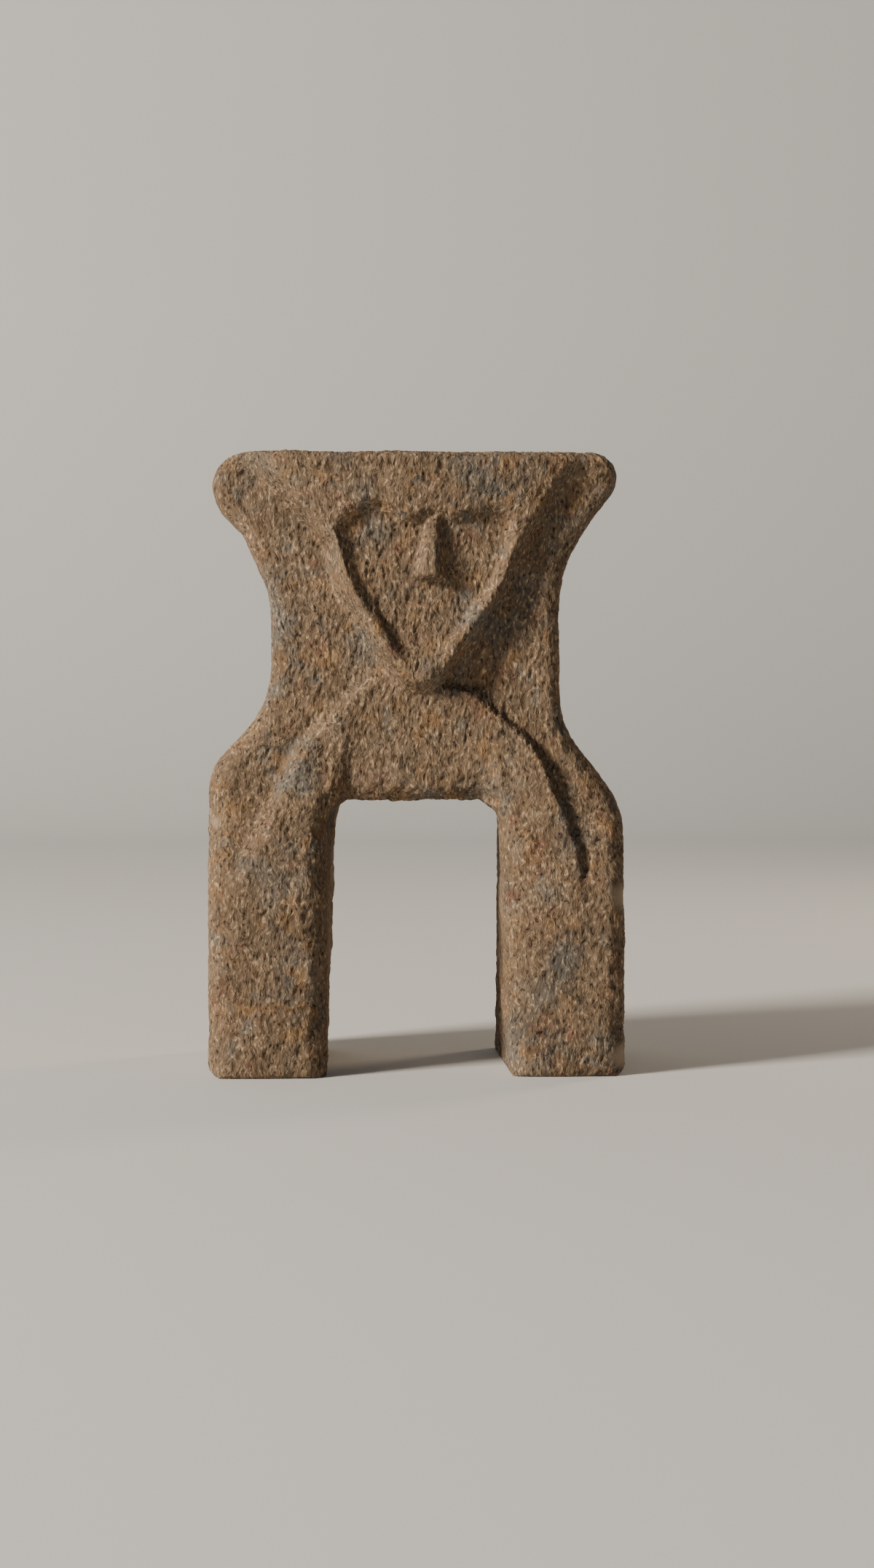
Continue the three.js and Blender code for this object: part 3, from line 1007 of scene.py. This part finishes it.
@dataclass
class StoneFigure:
    """The whole sculpture, one carved block."""

    relief: Relief
    lattice: Lattice = field(default_factory=Lattice)
    weathering: Weathering = field(default_factory=Weathering)
    finish: CoarseStone = field(default_factory=CoarseStone)
    piece: bpy.types.Object | None = None

    def block(self) -> Mesh:
        """Join the front, the sides in layers and the coarser back into one closed surface.

        Layer k of the sides is front rim + (back rim - front rim) times its share of the depth.

        Returns:
            The smooth closed surface.
        """
        relief, lattice = self.relief, self.lattice
        x, z = lattice.places(relief, relief.shape.arch_front)
        front = np.stack([x, relief.front_y(x, z), z], axis=2)
        x, z = lattice.places(relief, relief.shape.arch_back)
        back = np.stack([x, relief.back_y(x, z), z], axis=2)
        rows, columns = front.shape[:2]
        row, column = lattice.rim().T
        rim_front, rim_back = front[row, column], back[row, column]

        fine = np.linspace(0.0, lattice.fine_depth, lattice.fine_layers + 1)[1:]
        coarse = np.linspace(lattice.fine_depth, 1.0, lattice.coarse_layers + 1)[1:-1]
        fine_rings = mix(rim_front, rim_back, fine[:, None, None])
        coarse_rings = mix(rim_front[::2], rim_back[::2], coarse[:, None, None])
        places = np.concatenate([p.reshape(-1, 3) for p in (front, fine_rings, coarse_rings, back)])

        of_front = np.arange(rows * columns).reshape(rows, columns)
        count = of_front.size
        of_fine = count + np.arange(fine_rings[..., 0].size).reshape(len(fine), -1)
        count += of_fine.size
        of_coarse = count + np.arange(coarse_rings[..., 0].size).reshape(len(coarse), -1)
        count += of_coarse.size
        of_back = count + np.arange(rows * columns).reshape(rows, columns)

        fine_numbers = np.vstack([of_front[row, column], of_fine])
        coarse_numbers = np.vstack([of_coarse, of_back[row, column][::2]])
        cells_front, cells_back = lattice.cells(1), lattice.cells(2)
        quads = np.concatenate([
            of_front[cells_front[..., 0], cells_front[..., 1]],
            of_back[cells_back[..., 0], cells_back[..., 1]][:, ::-1],
            self.ring_faces(fine_numbers),
            self.ring_faces(coarse_numbers),
        ])
        return self.used(Mesh(places, quads, self.seam_faces(fine_numbers[-1], coarse_numbers[0])))

    def ring_faces(self, numbers: np.ndarray) -> np.ndarray:
        """Quads between neighbouring layers of the sides, pointing outwards.

        Args:
            numbers: Place numbers, one row for each layer, front first.

        Returns:
            The quads.
        """
        ahead = np.roll(numbers, -1, axis=1)
        corners = [ahead[:-1], numbers[:-1], numbers[1:], ahead[1:]]
        return np.stack([corner.ravel() for corner in corners], axis=1)

    def seam_faces(self, fine: np.ndarray, coarse: np.ndarray) -> np.ndarray:
        """Three triangles for each coarse cell, where a layer with twice as many places ends.

        Args:
            fine: Place numbers of the last fine layer.
            coarse: Place numbers of the first coarse layer.

        Returns:
            The triangles.
        """
        start, middle = fine[::2], fine[1::2]
        end, below, ahead = np.roll(start, -1), coarse, np.roll(coarse, -1)
        corners = [(middle, start, below), (middle, below, ahead), (end, middle, ahead)]
        return np.concatenate([np.stack(corner, axis=1) for corner in corners])

    def used(self, mesh: Mesh) -> Mesh:
        """Drop the places that no face uses, such as those in the opening.

        Args:
            mesh: A surface with spare places.

        Returns:
            The same surface without them.
        """
        kept = np.zeros(len(mesh.places), bool)
        kept[mesh.quads.ravel()] = True
        kept[mesh.triangles.ravel()] = True
        number = np.cumsum(kept) - 1
        return Mesh(mesh.places[kept], number[mesh.quads], number[mesh.triangles])

    def build(self) -> None:
        """Make the block, weather it along its normals and keep the undersides of the feet flat."""
        smooth_block = self.block()
        places, weathering = smooth_block.places, self.weathering
        shape = self.relief.shape
        beside = np.maximum(0.0, np.abs(places[:, 0]) - shape.arch_front.foot_right)
        height = weathering.height(places, np.hypot(places[:, 2] - shape.arch_top, beside))
        still = smooth(places[:, 2] / weathering.foot_still)
        moved = places + (height * still)[:, None] * smooth_block.normals()
        moved[:, 2] = np.clip(moved[:, 2], 0.0, None)
        # relief carries the weathering height, which the material turns into painted shade in low places and
        # painted light on raised ones
        marks = {"relief": height, "bareness": weathering.bareness(places)}
        solid = Mesh(moved, smooth_block.quads, smooth_block.triangles)
        self.piece = solid.to_object("weathered_stone_figure", marks)
        log.info("%s: %d places", self.piece.name, len(moved))
        log.info("%s: %d triangles", self.piece.name, 2 * len(solid.quads) + len(solid.triangles))

    def dress(self) -> None:
        """Give the stone its material and put it in the place of the carved block."""
        self.piece.data.materials.append(StoneDresser(self.finish).material())
        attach(self.piece, "root")
        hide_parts(NODE)


@dataclass(frozen=True)
class Lamp:
    """A soft lamp: where it stands as seen from the figure, how large it is and how bright."""

    name: str
    azimuth: float
    elevation: float
    distance: float
    size: float
    power: float
    colour: str


@dataclass(frozen=True)
class Studio:
    """A plain pale floor and backdrop, soft lamps and the camera."""

    aim_height: float = 160.0
    floor_size: float = 9000.0
    floor_colour: str = "#D6D7D5"
    backdrop_away: float = 2500.0
    backdrop_height: float = 3000.0
    bend_radius: float = 700.0
    bend_steps: int = 24
    sky: str = "#C4D6EE"
    sky_strength: float = 0.10
    camera_place: tuple[float, float, float] = (-60.7, -1485.3, 214.6)
    camera_aim: tuple[float, float, float] = (0.04916, 0.99889, -0.04463)
    sensor: float = 36.0
    lens: float = 64.47
    lamps: tuple[Lamp, ...] = (
        Lamp("key", -60.0, 24.0, 4200.0, 900.0, 320.0, "#FFF3E4"),
        Lamp("rear_right", 128.0, 30.0, 1500.0, 300.0, 6.0, "#FFE2BF"),
    )

    def sweep(self) -> bpy.types.Object:
        """Floor that bends up into the backdrop: a straight run, a quarter turn and a straight rise.

        Returns:
            The floor and backdrop in one sheet.
        """
        half = self.floor_size / 2
        turn = np.linspace(0.0, math.pi / 2, self.bend_steps + 1)
        bend_y = self.backdrop_away - self.bend_radius * (1.0 - np.sin(turn))
        bend_z = self.bend_radius * (1.0 - np.cos(turn))
        y = np.concatenate([[-half], bend_y, [self.backdrop_away]])
        z = np.concatenate([[0.0], bend_z, [self.backdrop_height]])
        left = np.stack([np.full_like(y, -half), y, z], axis=1)
        right = left * (-1.0, 1.0, 1.0)
        count = len(y)
        n = np.arange(count - 1)
        quads = np.stack([n, n + count, n + count + 1, n + 1], axis=1)
        sheet = Mesh(np.concatenate([left, right]), quads, np.zeros((0, 3), int))
        made = sheet.to_object("pale_floor", {})
        paint = bpy.data.materials.new("pale_floor_paint")
        paint.use_nodes = True
        shader = paint.node_tree.nodes["Principled BSDF"]
        shader.inputs["Base Color"].default_value = linear(self.floor_colour)
        shader.inputs["Roughness"].default_value = 0.9
        made.data.materials.append(paint)
        return made

    def shine(self, lamp: Lamp) -> None:
        """Hang one soft square lamp that looks at the middle of the figure.

        Args:
            lamp: The lamp. Azimuth 0 is in front of the figure and grows to the right.
        """
        turned, raised = math.radians(lamp.azimuth), math.radians(lamp.elevation)
        towards = Vector((
            math.sin(turned) * math.cos(raised), -math.cos(turned) * math.cos(raised), math.sin(raised)
        ))
        light = bpy.data.lights.new(lamp.name, "AREA")
        light.size = lamp.size * MM
        light.energy = lamp.power
        light.color = linear(lamp.colour)[:3]
        hung = bpy.data.objects.new(lamp.name, light)
        hung.location = (towards * lamp.distance + Vector((0.0, 0.0, self.aim_height))) * MM
        hung.rotation_euler = towards.to_track_quat("Z", "Y").to_euler()
        bpy.context.scene.collection.objects.link(hung)

    def photograph(self) -> None:
        """Set up the camera at eye level with the figure's face, a little to its left."""
        camera = bpy.data.cameras.new("camera")
        camera.sensor_fit = "VERTICAL"
        camera.sensor_height = self.sensor
        camera.lens = self.lens
        stand = bpy.data.objects.new("camera", camera)
        stand.location = Vector(self.camera_place) * MM
        stand.rotation_euler = (-Vector(self.camera_aim)).to_track_quat("Z", "Y").to_euler()
        bpy.context.scene.collection.objects.link(stand)
        bpy.context.scene.camera = stand

    def build(self) -> None:
        """Set up the floor, the sky light, the lamps and the camera."""
        self.sweep()
        world = bpy.data.worlds.new("soft_sky")
        world.use_nodes = True
        background = world.node_tree.nodes["Background"]
        background.inputs["Color"].default_value = linear(self.sky)
        background.inputs["Strength"].default_value = self.sky_strength
        bpy.context.scene.world = world
        for lamp in self.lamps:
            self.shine(lamp)
        self.photograph()
        log.info("studio: %d lamps", len(self.lamps))


def main() -> None:
    logging.basicConfig(level=logging.INFO, format="%(message)s")
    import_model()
    low, high = (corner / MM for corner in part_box(NODE))
    silhouette = Silhouette(leg_outer=high.x, height=high.z)
    relief = Relief(silhouette, front_of_legs=high.y, back_at_feet=high.y)
    figure = StoneFigure(relief)
    figure.build()
    figure.dress()
    Studio().build()


if __name__ == "__main__":
    main()
